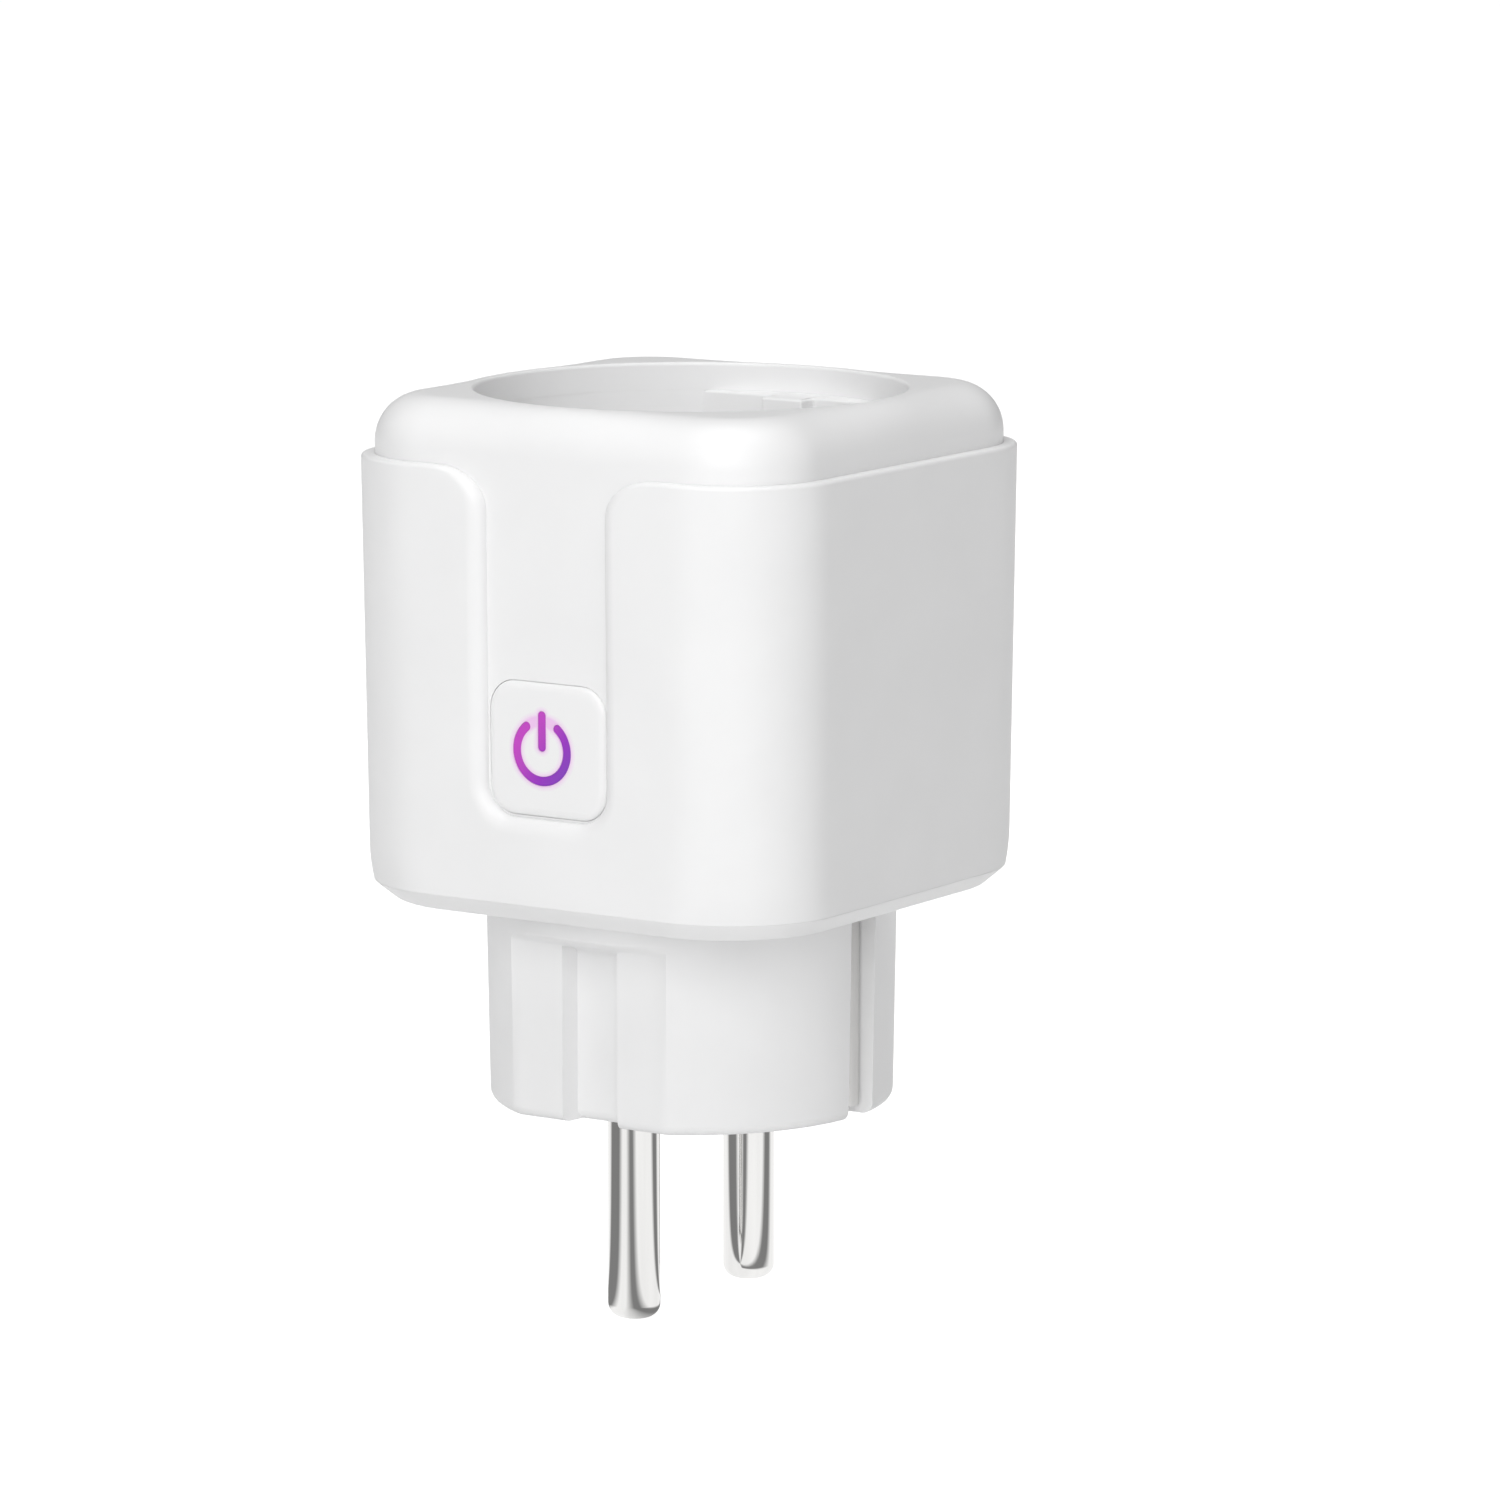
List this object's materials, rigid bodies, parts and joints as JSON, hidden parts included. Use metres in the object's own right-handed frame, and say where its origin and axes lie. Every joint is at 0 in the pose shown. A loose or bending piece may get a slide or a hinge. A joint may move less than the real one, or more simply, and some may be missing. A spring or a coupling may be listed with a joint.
{
  "type": "smart plug",
  "caption": "Compact white smart plug: round earthed two-pin mains plug below, matching shuttered socket recess on top, push button with a lit purple power symbol on the front.",
  "frame": {"origin": "centre of the plug's flat engagement face, which meets the wall socket", "axes": "+Z from the plug to the socket's mouth, -Y towards the button, pins in line along Y, earth contacts at +X and -X"},
  "size_m": [0.0486, 0.0486, 0.0847],
  "materials": {
    "white_plastic": "satin white moulded plastic",
    "inner_plastic": "matt off-white moulded plastic",
    "nickel": "bright nickel-plated brass",
    "brass": "bare rolled brass",
    "steel": "zinc-plated steel",
    "board": "green solder resist on glass laminate",
    "dark_board": "black solder resist on glass laminate",
    "black_plastic": "black moulded plastic",
    "purple_diffuser": "translucent purple light guide",
    "led": "clear domed lamp package",
    "capacitor_sleeve": "shrink sleeve over an aluminium can",
    "ferrite": "ferrite drum with varnished winding",
    "blue_epoxy": "dipped epoxy",
    "yellow_plastic": "moulded film-capacitor box",
    "fuse_ceramic": "ceramic body",
    "copper": "bare copper alloy strip",
    "copper_winding": "enamelled copper winding under tape",
    "earth_insulation": "green and yellow sleeving"
  },
  "bodies": {
    "housing": {"outer_sleeve": "white_plastic", "inner_housing": "white_plastic", "socket_cup": "white_plastic", "base_housing": "white_plastic", "housing_screw_1": "steel", "housing_screw_2": "steel", "housing_screw_3": "steel", "housing_screw_4": "steel", "plug_pin_live": "nickel", "plug_pin_neutral": "nickel", "plug_earth_strap": "nickel", "earth_pin_contact": "brass", "live_contact": "brass", "neutral_contact": "brass", "socket_earth_bracket": "nickel", "earth_wire": "earth_insulation", "shutter_spring": "steel", "shutter_cover": "inner_plastic", "control_board": "board", "switch_body": "black_plastic", "status_led": "led", "wifi_board": "dark_board", "wifi_shield": "steel", "main_board": "board", "capacitor_1": "capacitor_sleeve", "capacitor_2": "capacitor_sleeve", "inductor": "ferrite", "varistor": "blue_epoxy", "bridge_rectifier": "black_plastic", "suppression_capacitor": "yellow_plastic", "fuse": "fuse_ceramic", "metering_chip": "black_plastic", "shunt_resistor": "copper", "relay_cover": "black_plastic", "relay_base": "black_plastic", "relay_yoke": "steel", "relay_coil": "copper_winding", "relay_fixed_contact": "brass"},
    "button": {"button_cap": "white_plastic", "light_guide": "purple_diffuser"},
    "plunger": {"switch_plunger": "black_plastic"},
    "shutter": {"shutter": "inner_plastic"},
    "armature": {"relay_armature": "steel", "relay_contact_blade": "brass"}
  },
  "joints": [
    {"name": "button_press", "type": "slide", "parent": "housing", "child": "button", "axis": [0, 1, 0], "range_m": [0, 0.0006], "stiffness_N_per_m": 400},
    {"name": "plunger_press", "type": "slide", "parent": "housing", "child": "plunger", "axis": [0, 1, 0], "range_m": [0, 0.0003]},
    {"name": "shutter_turn", "type": "hinge", "parent": "housing", "child": "shutter", "pos_m": [0, 0, 0.0444], "axis": [0, 0, 1], "range_deg": [0, 42], "stiffness_Nm_per_rad": 0.002, "deforming": ["shutter_spring"]},
    {"name": "relay_armature_tilt", "type": "hinge", "parent": "housing", "child": "armature", "pos_m": [0.0129, 0.0025, 0.0351], "axis": [1, 0, 0], "range_deg": [0, 2.7], "stiffness_Nm_per_rad": 0.02}
  ],
  "couplings": [
    {"joint": "plunger_press", "follows": "button_press", "ratio": 0.5}
  ]
}
